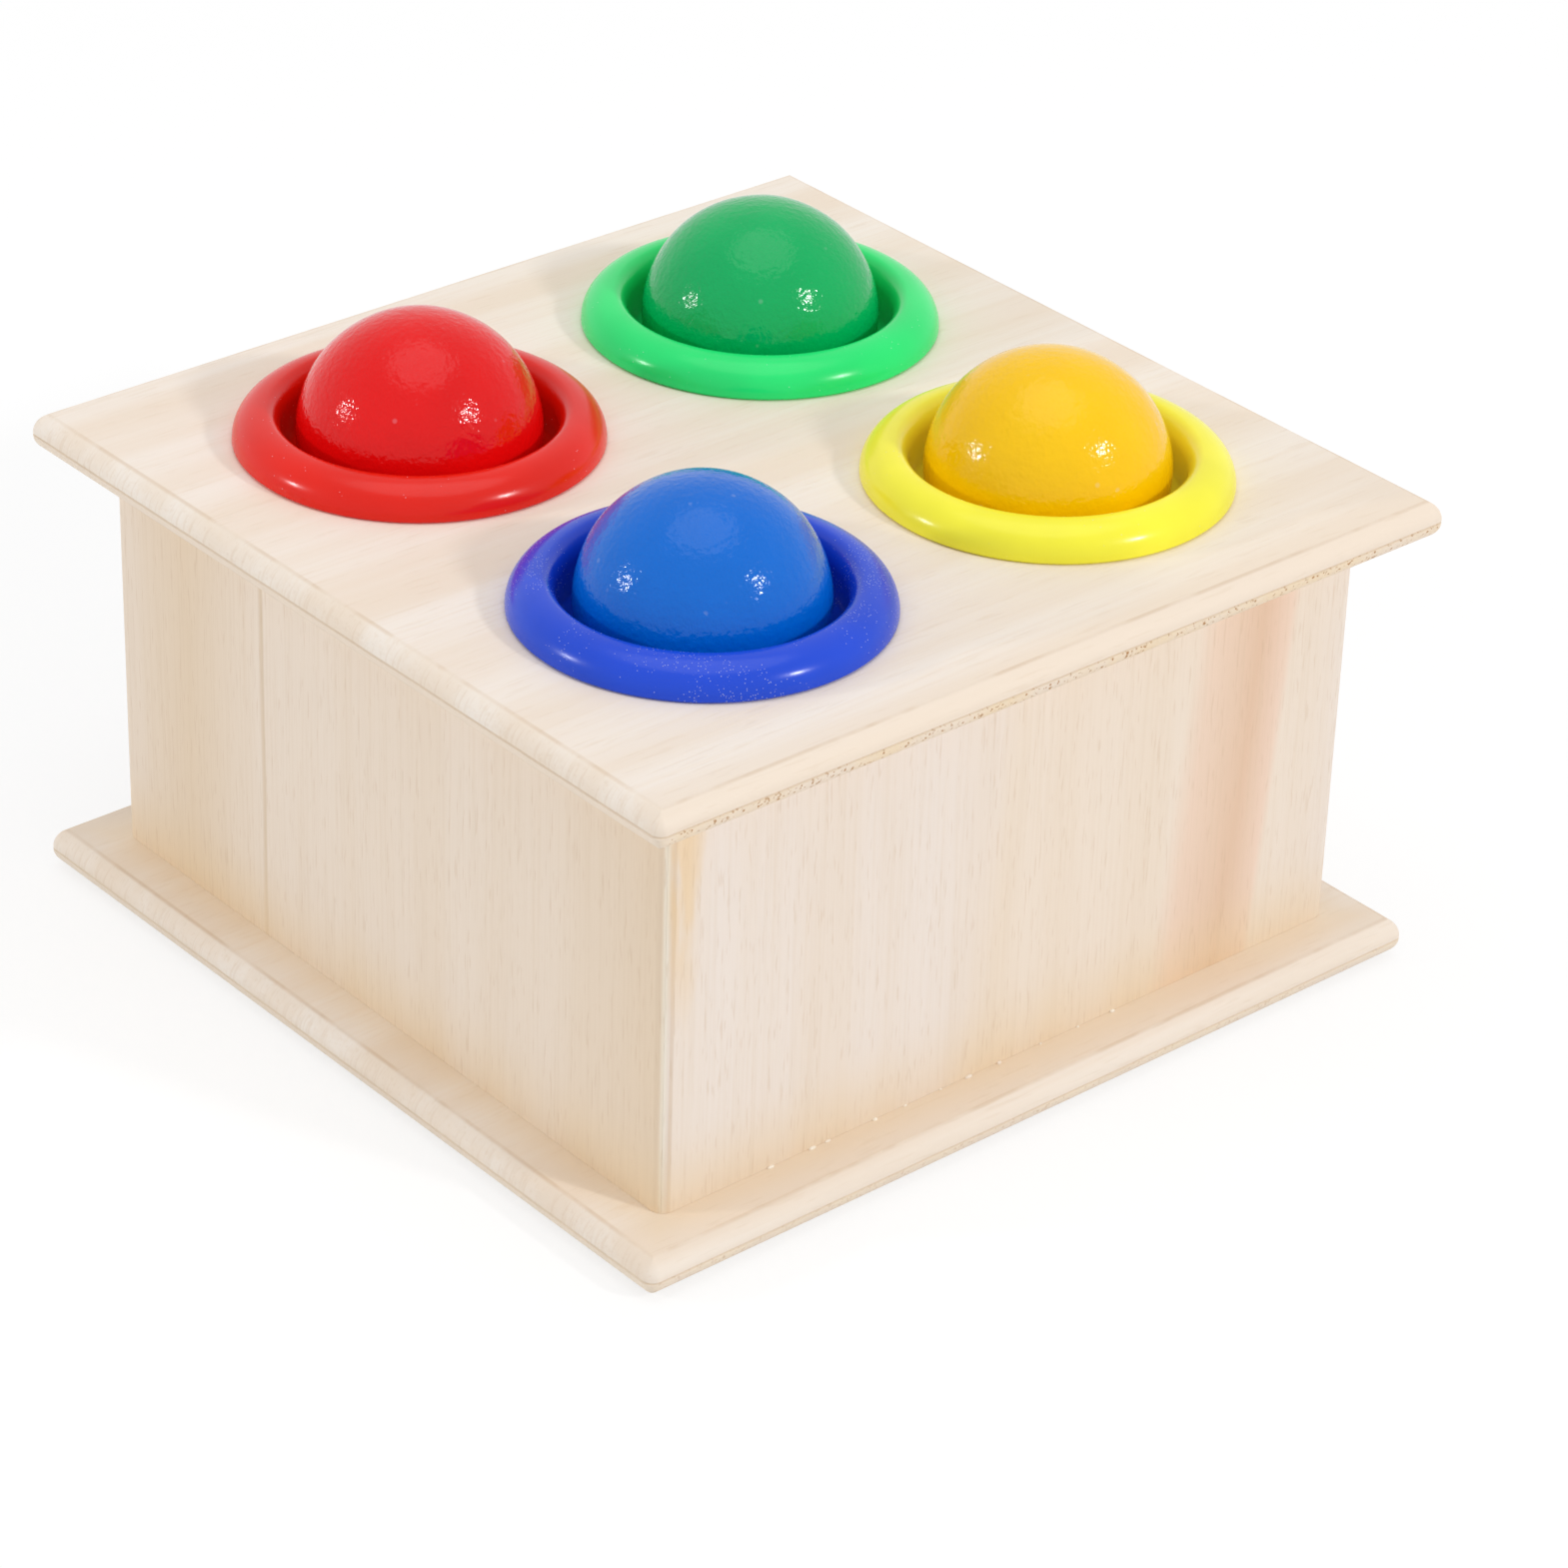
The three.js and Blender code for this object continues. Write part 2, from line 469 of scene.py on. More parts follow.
def scaled(tree, vector, factor):
    """A vector made longer or shorter."""
    return put(tree, "ShaderNodeVectorMath", {0: vector, "Scale": factor}, operation="SCALE").outputs[0]


def parts_of(tree, vector):
    """A vector's X, Y and Z."""
    return put(tree, "ShaderNodeSeparateXYZ", {0: vector}).outputs


def unsigned_parts(tree, vector):
    """A vector's X, Y and Z without their signs."""
    unsigned = put(tree, "ShaderNodeVectorMath", {0: vector}, operation="ABSOLUTE")
    return parts_of(tree, unsigned.outputs[0])


def turned(tree, position, order):
    """The position with its axes in another order, so that the third one is along the grain."""
    parts = parts_of(tree, position)
    return put(tree, "ShaderNodeCombineXYZ", {i: parts[axis] for i, axis in enumerate(order)}).outputs[0]


def cloud(tree, position, per_metre, detail=2.0, roughness=0.5):
    """Noise with a given number of lumps in a metre along each axis."""
    place = put(tree, "ShaderNodeVectorMath", {0: position, 1: per_metre}, operation="MULTIPLY")
    inputs = {"Vector": place.outputs[0], "Scale": 1.0, "Detail": detail, "Roughness": roughness}
    return put(tree, "ShaderNodeTexNoise", inputs).outputs


# Node groups that several materials share


def shader_group(name, inputs, outputs):
    """An empty shader group with named sockets, and its two end nodes."""
    tree = bpy.data.node_groups.new(name, "ShaderNodeTree")
    for socket, kind in inputs:
        tree.interface.new_socket(socket, in_out="INPUT", socket_type=kind)
    for socket in outputs:
        tree.interface.new_socket(socket, in_out="OUTPUT", socket_type="NodeSocketFloat")
    return tree, tree.nodes.new("NodeGroupInput").outputs, tree.nodes.new("NodeGroupOutput").inputs


def grain_group():
    """Wood grain along the position's third axis: slow tone, fine fibres and short pores."""
    sockets = [("Position", "NodeSocketVector"), ("Fineness", "NodeSocketFloat")]
    tree, given, result = shader_group("Wood grain", sockets, ("Tone", "Fibre", "Pores"))
    sway = cloud(tree, given["Position"], GRAIN_SWAY, 1.0)["Color"]
    centred = put(tree, "ShaderNodeVectorMath", {0: sway, 1: NOISE_MIDDLE}, operation="SUBTRACT")
    shift = scaled(tree, centred.outputs[0], GRAIN_SWING)
    swayed = put(tree, "ShaderNodeVectorMath", {0: given["Position"], 1: shift}, operation="ADD").outputs[0]
    fine = scaled(tree, swayed, given["Fineness"])
    tone = cloud(tree, swayed, GRAIN_TONE, 3.0)["Fac"]
    fibre = cloud(tree, fine, GRAIN_FIBRE, 4.0, 0.62)["Fac"]
    pores = cloud(tree, fine, GRAIN_PORES, 1.0)["Fac"]
    tree.links.new(remap(tree, tone, *TONE_LEVELS), result["Tone"])
    tree.links.new(remap(tree, fibre, *FIBRE_LEVELS), result["Fibre"])
    tree.links.new(remap(tree, pores, *PORE_LEVELS), result["Pores"])
    return tree


def speck_group():
    """Small scattered specks, gathered in loose patches."""
    sockets = [("Position", "NodeSocketVector"), ("Scale", "NodeSocketFloat"), ("Cover", "NodeSocketFloat")]
    tree, given, result = shader_group("Specks", sockets, ("Mask",))
    place = scaled(tree, given["Position"], given["Scale"])
    cells = put(tree, "ShaderNodeTexVoronoi", {"Vector": place, "Scale": 1.0, "Randomness": 1.0}).outputs
    dot = remap(tree, cells["Distance"], *SPECK_EDGE)
    pick = put(tree, "ShaderNodeSeparateColor", {0: cells["Color"]}).outputs[0]
    patch = cloud(tree, given["Position"], SPECK_PATCHES, 3.0)["Fac"]
    weight = times(tree, remap(tree, patch, *PATCH_LEVELS), given["Cover"])
    chosen = reckon(tree, "LESS_THAN", pick, weight)
    tree.links.new(times(tree, dot, chosen), result["Mask"])
    return tree


def skin_group():
    """The pebbled skin of a sprayed or moulded gloss surface."""
    sockets = [("Position", "NodeSocketVector"), ("Scale", "NodeSocketFloat")]
    tree, given, result = shader_group("Gloss skin", sockets, ("Relief", "Mottle"))
    place = scaled(tree, given["Position"], given["Scale"])
    relief = cloud(tree, place, SKIN_PEBBLES, 2.0, 0.55)["Fac"]
    mottle = cloud(tree, place, SKIN_MOTTLE, 3.0)["Fac"]
    tree.links.new(relief, result["Relief"])
    tree.links.new(remap(tree, mottle, *MOTTLE_LEVELS), result["Mottle"])
    return tree


def use_group(tree, name, maker, inputs):
    """Places a shared group in a material, and builds it the first time."""
    node = tree.nodes.new("ShaderNodeGroup")
    node.node_tree = bpy.data.node_groups.get(name) or maker()
    set_inputs(tree, node, inputs)
    return node.outputs


def wood_grain(tree, position, fineness):
    """Masks of the grain's tone, fibre and pores."""
    return use_group(tree, "Wood grain", grain_group, {"Position": position, "Fineness": fineness})


def specks(tree, position, per_metre, cover):
    """A mask of scattered specks."""
    inputs = {"Position": position, "Scale": per_metre, "Cover": cover}
    return use_group(tree, "Specks", speck_group, inputs)["Mask"]


def gloss_skin(tree, position, per_metre):
    """Relief and mottle of a gloss skin with a given number of pebbles in a metre."""
    return use_group(tree, "Gloss skin", skin_group, {"Position": position, "Scale": per_metre})


# Materials


def new_material(name, specular):
    """A material, its tree, its main shader and the piece's own position."""
    material = bpy.data.materials.new(name)
    material.use_nodes = True
    tree = material.node_tree
    tree.nodes.clear()
    shader = put(tree, "ShaderNodeBsdfPrincipled", {"Specular IOR Level": specular})
    put(tree, "ShaderNodeOutputMaterial", {"Surface": shader.outputs[0]})
    position = put(tree, "ShaderNodeTexCoord").outputs["Object"]
    return material, tree, shader, position


def dress(tree, shader, tint, roughness, height, depth, strength):
    """Gives a material its colour, its roughness, and relief of a given depth in metres."""
    bump = put(tree, "ShaderNodeBump", {"Strength": strength, "Distance": depth, "Height": height})
    set_inputs(tree, shader, {"Base Color": tint, "Roughness": roughness, "Normal": bump.outputs[0]})


def wood_colour(tree, grain, pale, dark, pore, pore_share):
    """Plywood's colour from its grain."""
    toned = blend(tree, grain["Tone"], pale, dark)
    fibred = blend(tree, times(tree, grain["Fibre"], PLY_FIBRE), toned, dark)
    return blend(tree, times(tree, grain["Pores"], pore_share), fibred, pore)


def wood_relief(tree, grain):
    """Wood's relief: raised fibres with pores cut into them."""
    return reckon(tree, "SUBTRACT", grain["Fibre"], times(tree, grain["Pores"], PORE_DEPTH))


def board_face(tree, position, grain, sway, cut_across, foot_shade, colours, sizes):
    """The outer plies: ticks where they are cut across, painted shade by the walls and a frayed arris."""
    face = wood_colour(tree, grain, colours.board_pale, colours.board_dark, colours.board_pore, PLY_PORES)
    ticks = remap(tree, cloud(tree, position, CUT_TICKS, 3.0)["Fac"], *TICK_LEVELS)
    shown_ticks = times(tree, ticks, remap(tree, cut_across, *CUT_FACING))
    ticked = blend(tree, times(tree, shown_ticks, TICK_SHARE), face, colours.board_pore)
    # Painted shade on the base board, warmer and darker close to the walls' foot
    plan = unsigned_parts(tree, position)
    spread = reckon(tree, "MAXIMUM", plan["X"], plan["Y"])
    stain = remap(tree, spread, WALL_OUTER + FOOT_SHADE_SPREAD, WALL_OUTER, 0.0, foot_shade)
    shaded = blend(tree, stain, ticked, colours.wall_foot_shade)
    off_arris = distance_from(tree, spread, BASE_HIGH.x - sizes.upper_inset)
    fray = times(tree, remap(tree, off_arris, *FRAY_REACH), remap(tree, sway, *FRAY_LEVELS, *FRAY_SHARES))
    return blend(tree, fray, shaded, colours.board_pore)


def board_core(tree, position, grain, end_pores, colours):
    """The crossing ply, with warmer wood and open pits where its end grain shows."""
    warm = blend(tree, times(tree, end_pores, END_WARMTH), colours.core_pale, colours.wall_sap)
    core = wood_colour(tree, grain, warm, colours.board_dark, colours.core_pore, end_pores)
    pits = times(tree, specks(tree, position, END_PITS, 1.0), end_pores)
    return blend(tree, pits, core, colours.core_pore)


def ply_masks(tree, position, sway, low, sizes):
    """Masks of the crossing ply and of the glue line above it, which is darkened also as painted shade in
    the notch.
    """
    swing = times(tree, reckon(tree, "SUBTRACT", sway, 0.5), PLY_SWING)
    height = reckon(tree, "ADD", parts_of(tree, position)["Z"], swing)
    core_low = low.z + UNDER_PLY
    core_top = low.z + sizes.lower_ply
    under_top = remap(tree, height, core_top + PLY_BLUR, core_top - PLY_BLUR)
    over_low = remap(tree, height, core_low - PLY_BLUR, core_low + PLY_BLUR)
    # Glue line at the notch's height: partly a real glue line, partly painted shade in the notch
    glue = remap(tree, distance_from(tree, height, core_top), GLUE_LINE_SHADE_REACH, PLY_BLUR, 0.0, GLUE_LINE_SHADE_SHARE)
    return times(tree, under_top, over_low), glue


def board_material(name, low, open_pores, foot_shade, colours, sizes):
    """Plywood as one solid pattern: plies along X above and below a ply that crosses them along Y."""
    material, tree, shader, position = new_material(name, WOOD_SPECULAR)
    facing = unsigned_parts(tree, put(tree, "ShaderNodeNewGeometry").outputs["Normal"])
    sway = cloud(tree, position, PLY_WAVES)["Fac"]
    face_grain = wood_grain(tree, turned(tree, position, "YZX"), FACE_FINENESS)
    core_grain = wood_grain(tree, turned(tree, position, "XZY"), CORE_FINENESS)
    face = board_face(tree, position, face_grain, sway, facing["X"], foot_shade, colours, sizes)
    end_pores = remap(tree, facing["Y"], *END_FACING, 0.0, open_pores)
    core = board_core(tree, position, core_grain, end_pores, colours)
    inside, glue = ply_masks(tree, position, sway, low, sizes)
    tint = blend(tree, glue, blend(tree, inside, face, core), colours.glue_line_and_shade)
    rough = remap(tree, face_grain["Fibre"], 0.0, 1.0, *BOARD_ROUGHNESS)
    relief = between(tree, inside, wood_relief(tree, face_grain), wood_relief(tree, core_grain))
    dress(tree, shader, tint, rough, relief, *WOOD_RELIEF)
    return material


def stripe_ramp(tree, share, stripes, colours):
    """The colours of a wall's stripes across its width."""
    ramp = put(tree, "ShaderNodeValToRGB", {0: share})
    elements = ramp.color_ramp.elements
    while len(elements) < len(stripes):
        elements.new(0.5)
    for element, (place, key) in zip(elements, stripes):
        element.position = place
        element.color = (*getattr(colours, key), 1.0)
    return ramp.outputs["Color"]


def striped_wood(tree, along, height, drift, lean, stripes, colours):
    """A wall's stripes, which wander a little and may lean."""
    shift = reckon(tree, "ADD", times(tree, height, lean), times(tree, drift, STRIPE_SWING))
    across = reckon(tree, "ADD", along, shift)
    middle = STRIPE_SWING / 2 + lean * (LEFT_LOW.z + LEFT_HIGH.z) / 2
    limits = {"Value": across, "From Min": middle - WALL_OUTER, "From Max": middle + WALL_OUTER}
    share = put(tree, "ShaderNodeMapRange", limits).outputs["Result"]
    return stripe_ramp(tree, share, stripes, colours)


def sap_streak(tree, position, along, height, wood, colours):
    """The wood by the near corner: a fine seam, and a ragged streak of resin that fades downwards."""
    off_seam = distance_from(tree, along, SEAM_PLACE - WALL_OUTER)
    seam = remap(tree, off_seam, *SEAM_REACH, 0.0, SEAM_SHARE)
    seamed = blend(tree, seam, wood, colours.wall_pore)
    near = remap(tree, along, SAP_END - WALL_OUTER, SAP_START - WALL_OUTER)
    ragged = remap(tree, cloud(tree, position, SAP_RAGS, 3.0)["Fac"], *RAG_LEVELS, *RAG_SHARES)
    upper = remap(tree, height, SAP_FOOT, SAP_HEAD, 0.0, SAP_SHARE)
    return blend(tree, times(tree, times(tree, near, ragged), upper), seamed, colours.wall_sap)


def wall_material(name, axis, stripes, colours, with_sap):
    """Solid wood with upright grain, in glued or grown stripes across the wall."""
    material, tree, shader, position = new_material(name, WOOD_SPECULAR)
    parts = parts_of(tree, position)
    along = parts[axis]
    height = parts["Z"]
    grain = wood_grain(tree, position, WALL_FINENESS)
    drift = cloud(tree, position, STRIPE_DRIFT)["Fac"]
    lean = HEART_LEAN if with_sap else 0.0
    striped = striped_wood(tree, along, height, drift, lean, stripes, colours)
    wood = blend(tree, times(tree, grain["Tone"], WALL_TONE), striped, colours.wall_tan)
    if with_sap:
        wood = sap_streak(tree, position, along, height, wood, colours)
    # Painted highlight: a pale band in the glue's colour along the near arris, for the light that the
    # rounded corner catches
    near, far = ARRIS_HIGHLIGHT_REACH
    arris = remap(tree, along, far - WALL_OUTER, near - WALL_OUTER, 0.0, ARRIS_HIGHLIGHT_SHARE)
    highlighted = blend(tree, arris, wood, colours.dried_glue)
    # Painted shade: warmer and darker towards the walls' foot, unevenly, where they meet the base board
    foot = remap(tree, height, LEFT_LOW.z + FOOT_SHADE_HEIGHT, LEFT_LOW.z, 0.0, FOOT_SHADE_SHARE)
    stain = times(tree, foot, remap(tree, drift, *FOOT_SHADE_LEVELS, *FOOT_SHADE_SHARES))
    shaded = blend(tree, stain, highlighted, colours.wall_foot_shade)
    fibred = blend(tree, times(tree, grain["Fibre"], WALL_FIBRE), shaded, colours.wall_seam)
    tint = blend(tree, times(tree, grain["Pores"], WALL_PORES), fibred, colours.wall_pore)
    rough = remap(tree, grain["Fibre"], 0.0, 1.0, *WALL_ROUGHNESS)
    dress(tree, shader, tint, rough, wood_relief(tree, grain), *WOOD_RELIEF)
    return material


def glue_material(colours):
    """Cloudy white glue with a wrinkled skin."""
    material, tree, shader, position = new_material("dried_glue", GLUE_SPECULAR)
    skin = gloss_skin(tree, position, GLUE_WRINKLES)
    tint = blend(tree, skin["Mottle"], colours.dried_glue, colours.wall_cream)
    rough = remap(tree, skin["Mottle"], 0.0, 1.0, *GLUE_ROUGHNESS)
    dress(tree, shader, tint, rough, skin["Relief"], *GLUE_RELIEF)
    return material


def gloss_colour(tree, clean, depth, skin, dust, dust_share, colours):
    """A gloss colour that is deeper in places and carries dust."""
    deep = tuple(part * depth for part in clean)
    mottled = blend(tree, skin["Mottle"], clean, deep)
    return blend(tree, times(tree, dust, dust_share), mottled, colours.dust)


def paint_material(station, colours):
    """Gloss paint on turned wood, with the pebbled skin that sprayed paint dries to."""
    material, tree, shader, position = new_material(station + "_paint", PAINT_SPECULAR)
    paint = getattr(colours, station + "_paint")
    skin = gloss_skin(tree, position, PAINT_PEBBLES)
    dust = specks(tree, position, PAINT_SPECKS, BALL_WEAR)
    tint = gloss_colour(tree, paint, PAINT_DEPTH, skin, dust, PAINT_DUST, colours)
    rough = remap(tree, skin["Mottle"], 0.0, 1.0, *PAINT_ROUGHNESS)
    dress(tree, shader, tint, rough, skin["Relief"], *PAINT_RELIEF)
    return material


def plastic_material(station, colours):
    """Moulded gloss plastic with scattered dust and fine scuffs."""
    material, tree, shader, position = new_material(station + "_plastic", PLASTIC_SPECULAR)
    plastic = getattr(colours, station + "_plastic")
    skin = gloss_skin(tree, position, PLASTIC_PEBBLES)
    dust = specks(tree, position, PLASTIC_SPECKS, RING_WEAR[station])
    tint = gloss_colour(tree, plastic, PLASTIC_DEPTH, skin, dust, PLASTIC_DUST, colours)
    shine = remap(tree, skin["Mottle"], 0.0, 1.0, *PLASTIC_ROUGHNESS)
    rough = reckon(tree, "ADD", shine, times(tree, dust, DUST_ROUGHNESS))
    relief = reckon(tree, "ADD", skin["Relief"], dust)
    dress(tree, shader, tint, rough, relief, *PLASTIC_RELIEF)
    return material


# Meshes


def arc(centre, radii, start, end, steps):
    """Points on an ellipse's arc, both ends included, in degrees."""
    points = []
    for step in range(steps + 1):
        turn = math.radians(start + (end - start) * step / steps)
        points.append((centre[0] + radii[0] * math.cos(turn), centre[1] + radii[1] * math.sin(turn)))
    return points


def join_rows(bm, rows, wrap=False):
    """Quads between neighbouring closed rows of vertices."""
    pairs = list(zip(rows, rows[1:]))
    if wrap:
        pairs.append((rows[-1], rows[0]))
    for lower, upper in pairs:
        count = len(lower)
        for i in range(count):
            j = (i + 1) % count
            bm.faces.new((lower[i], lower[j], upper[j], upper[i]))


def fill_flat(bm, loops):
    """A flat face inside the first closed row and outside the others."""
    edges = []
    for loop in loops:
        for i, vertex in enumerate(loop):
            edges.append(bm.edges.get((vertex, loop[i - 1])))
    bmesh.ops.triangle_fill(bm, use_beauty=True, edges=edges)


def finished_mesh(name, bm):
    """A smooth mesh from a bmesh, with its faces pointing out."""
    bmesh.ops.recalc_face_normals(bm, faces=bm.faces[:])
    mesh = bpy.data.meshes.new(name)
    bm.to_mesh(mesh)
    bm.free()
    mesh.shade_smooth()
    mesh.set_sharp_from_angle(angle=SHARP_ANGLE)
    return mesh


def add_piece(name, mesh, material, body, node=None):
    """Puts a piece in the scene, on its body and in place of its solid."""
    piece = bpy.data.objects.new(name, mesh)
    bpy.context.scene.collection.objects.link(piece)
    mesh.materials.append(material)
    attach(piece, body)
    if node:
        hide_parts(node)
    return piece


def even_shading(piece):
    """Lets large flat faces set the shading of the rounds beside them."""
    modifier = piece.modifiers.new("even_shading", "WEIGHTED_NORMAL")
    modifier.keep_sharp = True


def round_row(bm, centre, radius, height, sides):
    """A closed row of vertices round an upright axis."""
    row = []
    for side in range(sides):
        turn = 2 * math.pi * side / sides
        place = (centre.x + radius * math.cos(turn), centre.y + radius * math.sin(turn), height)
        row.append(bm.verts.new(place))
    return row


def square_row(bm, half, radius, height):
    """A closed row of vertices round a square with round corners."""
    row = []
    corner = arc((half - radius, half - radius), (radius, radius), 0, 90, CORNER_STEPS)
    for quarter in range(4):
        spin = Matrix.Rotation(quarter * math.pi / 2, 2)
        for point in corner:
            place = spin @ Vector(point)
            row.append(bm.verts.new((place.x, place.y, height)))
    return row


def board_edge(sizes):
    """Inset and height along a board's edge: round below, notched at the glue line and round above."""
    notch = sizes.notch
    lower = sizes.lower_ply - notch
    upper = BOARD_THICKNESS - sizes.lower_ply - notch
    swing = []
    for step in range(EDGE_STEPS + 1):
        turn = EDGE_TURN * step / EDGE_STEPS
        inset = (1 - math.cos(turn)) / (1 - math.cos(EDGE_TURN))
        rise = math.sin(turn) / math.sin(EDGE_TURN)
        swing.append((inset, rise))
    points = [(sizes.under_inset * inset, lower * (1 - rise)) for inset, rise in reversed(swing)]
    points.append((notch, sizes.lower_ply))
    for inset, rise in swing:
        points.append((sizes.upper_inset * inset, BOARD_THICKNESS - upper * (1 - rise)))
    return points


def board_mesh(name, low, high, corner, holes, sizes):
    """A board with its edge, and a softened hole at each given place."""
    bm = bmesh.new()
    rows = []
    for inset, height in board_edge(sizes):
        rows.append(square_row(bm, high.x - inset, max(corner - inset, LEAST_CORNER), low.z + height))
    join_rows(bm, rows)
    under = [rows[0]]
    face = [rows[-1]]
    soft = sizes.hole_softening
    radius = sizes.hole_radius
    for hole in holes:
        section = ((soft, low.z), (0.0, low.z + soft), (0.0, high.z - soft), (soft, high.z))
        wall = [round_row(bm, hole, radius + out, height, HOLE_SIDES) for out, height in section]
        join_rows(bm, wall)
        under.append(wall[0])
        face.append(wall[-1])
    fill_flat(bm, under)
    fill_flat(bm, face)
    return finished_mesh(name, bm)


def wall_plan(sizes, side):
    """A wall's outline from above: the front one (side 0) is mitred at both ends, the left (-1) and
    right (1) ones at the front only."""
    reach = WALL_OUTER - sizes.wall_arris
    radii = (sizes.wall_arris, sizes.wall_arris)
    if side == 0:
        plan = [(WALL_INNER, -WALL_INNER), (-WALL_INNER, -WALL_INNER)]
        plan += arc((-reach, -reach), radii, 225, 270, ARRIS_STEPS)
        plan += arc((reach, -reach), radii, 270, 315, ARRIS_STEPS)
        return plan
    plan = [(-WALL_INNER, -WALL_INNER), (-WALL_INNER, WALL_OUTER)]
    plan += arc((-reach, reach), radii, 90, 180, ARRIS_STEPS)
    plan += arc((-reach, -reach), radii, 180, 225, ARRIS_STEPS)
    return [(-side * x, y) for x, y in plan]


def wall_mesh(name, plan, softening):
    """A wall raised from its plan, with every cut edge softened."""
    bm = bmesh.new()
    rows = []
    for height in (LEFT_LOW.z, LEFT_HIGH.z):
        rows.append([bm.verts.new((x, y, height)) for x, y in plan])
    join_rows(bm, rows)
    for row in rows:
        bm.faces.new(row)
    bmesh.ops.recalc_face_normals(bm, faces=bm.faces[:])
    cut = [edge for edge in bm.edges if edge.calc_face_angle(0.0) > SHARP_ANGLE]
    bmesh.ops.bevel(bm, geom=cut, offset=softening, segments=2, profile=0.5, affect="EDGES")
    return finished_mesh(name, bm)


def ring_section(sizes, flange, crest, drop):
    """Radius and height round a ring's section, with the board's face at zero."""
    soft = RING_SOFTENING
    middle = sizes.rim_radius + sizes.crest_place
    points = [(sizes.sleeve_radius - soft, -drop), (sizes.sleeve_radius, soft - drop)]
    points += [(sizes.sleeve_radius, 0.0), (flange - soft, 0.0)]
    points += arc((middle, soft), (flange - middle, crest - soft), 0, 90, RING_STEPS)
    inner_radii = (sizes.crest_place, crest - sizes.rim_rise)
    points += arc((middle, sizes.rim_rise), inner_radii, 90, 180, RING_STEPS)[1:]
    points.append((sizes.rim_radius, soft - sizes.seat_drop))
    points.append((sizes.rim_radius - soft, -sizes.seat_drop - soft / 2))
    points.append((sizes.lip_radius + soft, soft / 2 - sizes.lip_drop))
    points.append((sizes.lip_radius, -sizes.lip_drop))
    points.append((sizes.lip_radius, soft - drop))
    points.append((sizes.lip_radius + soft, -drop))
    return points


def ring_mesh(name, low, high, sizes):
    """A ring turned round its own axis."""
    bm = bmesh.new()
    centre = (low + high) / 2
    face = TOP_HIGH.z
    section = ring_section(sizes, (high.x - low.x) / 2, high.z - face, face - low.z)
    rows = [round_row(bm, centre, radius, face + height, RING_SIDES) for radius, height in section]
    join_rows(bm, rows, wrap=True)
    return finished_mesh(name, bm)


def ball_mesh(name, low, high, unevenness):
    """A turned ball of even quads, whose skin strays a little from a true round."""
    bm = bmesh.new()
    bmesh.ops.create_cube(bm, size=2.0)
    bmesh.ops.subdivide_edges(bm, edges=bm.edges[:], cuts=BALL_CUTS, use_grid_fill=True)
    centre = (low + high) / 2
    radius = (high.z - low.z) / 2
    for vertex in bm.verts:
        x, y, z = (math.tan(part * math.pi / 4) for part in vertex.co)
        direction = Vector((x, y, z)).normalized()
        stray = noise.noise(direction * STRAY_LUMPS + centre * STRAY_SHIFT) * unevenness
        vertex.co = centre + direction * (radius + stray - unevenness / 2)
    return finished_mesh(name, bm)


def bead_mesh(name, largest):
    """Beads of dried glue squeezed out along the foot of the front wall."""
    bm = bmesh.new()
    draw = random.Random(BEAD_SEED)
    first, last = BEAD_ROW
    step = (last - first) / (BEAD_COUNT - 1)
    for bead in range(BEAD_COUNT):
        along = first + step * (bead + draw.uniform(-BEAD_JITTER, BEAD_JITTER))
        radius = largest * draw.uniform(BEAD_LEAST, 1.0)
        out = -WALL_OUTER - radius * BEAD_OUT
        place = Matrix.Translation((along, out, BASE_HIGH.z + radius * BEAD_RISE))
        shape = Matrix.Diagonal((draw.uniform(*BEAD_STRETCH), BEAD_DEPTH, BEAD_HEIGHT, 1.0))
        bmesh.ops.create_icosphere(bm, subdivisions=3, radius=radius, matrix=place @ shape)
    return finished_mesh(name, bm)


# Operators


class BENCH_OT_boards(bpy.types.Operator):
    """Makes the top board, with a hole for each ring, and the base board"""

    bl_idname = "bench.make_boards"
    bl_label = "Make boards"

    def execute(self, context):
        sizes = context.scene.bench_sizes
        colours = context.scene.bench_colours
        holes = []
        for station in STATIONS:
            low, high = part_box(station + "_ring")
            holes.append((low + high) / 2)
        boards = (
            ("top_board", TOP_LOW, TOP_HIGH, sizes.top_corner, holes, TOP_END_PORES, 0.0),
            ("base_board", BASE_LOW, BASE_HIGH, sizes.base_corner, [], BASE_END_PORES, BASE_SHADE),
        )
        for node, low, high, corner, drilled, open_pores, foot_shade in boards:
            mesh = board_mesh(node + "_plywood", low, high, corner, drilled, sizes)
            material = board_material(node + "_plywood", low, open_pores, foot_shade, colours, sizes)
            piece = add_piece(node + "_plywood", mesh, material, ROOT_BODY, node)
            even_shading(piece)
        return {"FINISHED"}


class BENCH_OT_walls(bpy.types.Operator):
    """Makes the front wall and the two side walls"""

    bl_idname = "bench.make_walls"
    bl_label = "Make walls"

    def execute(self, context):
        sizes = context.scene.bench_sizes
        colours = context.scene.bench_colours
        walls = (
            ("front_wall", 0, "X", FRONT_STRIPES),
            ("left_wall", -1, "Y", LEFT_STRIPES),
            ("right_wall", 1, "Y", RIGHT_STRIPES),
        )
        for node, side, axis, stripes in walls:
            mesh = wall_mesh(node + "_panel", wall_plan(sizes, side), sizes.softening)
            material = wall_material(node + "_wood", axis, stripes, colours, side == 0)
            piece = add_piece(node + "_panel", mesh, material, ROOT_BODY, node)
            even_shading(piece)
        return {"FINISHED"}


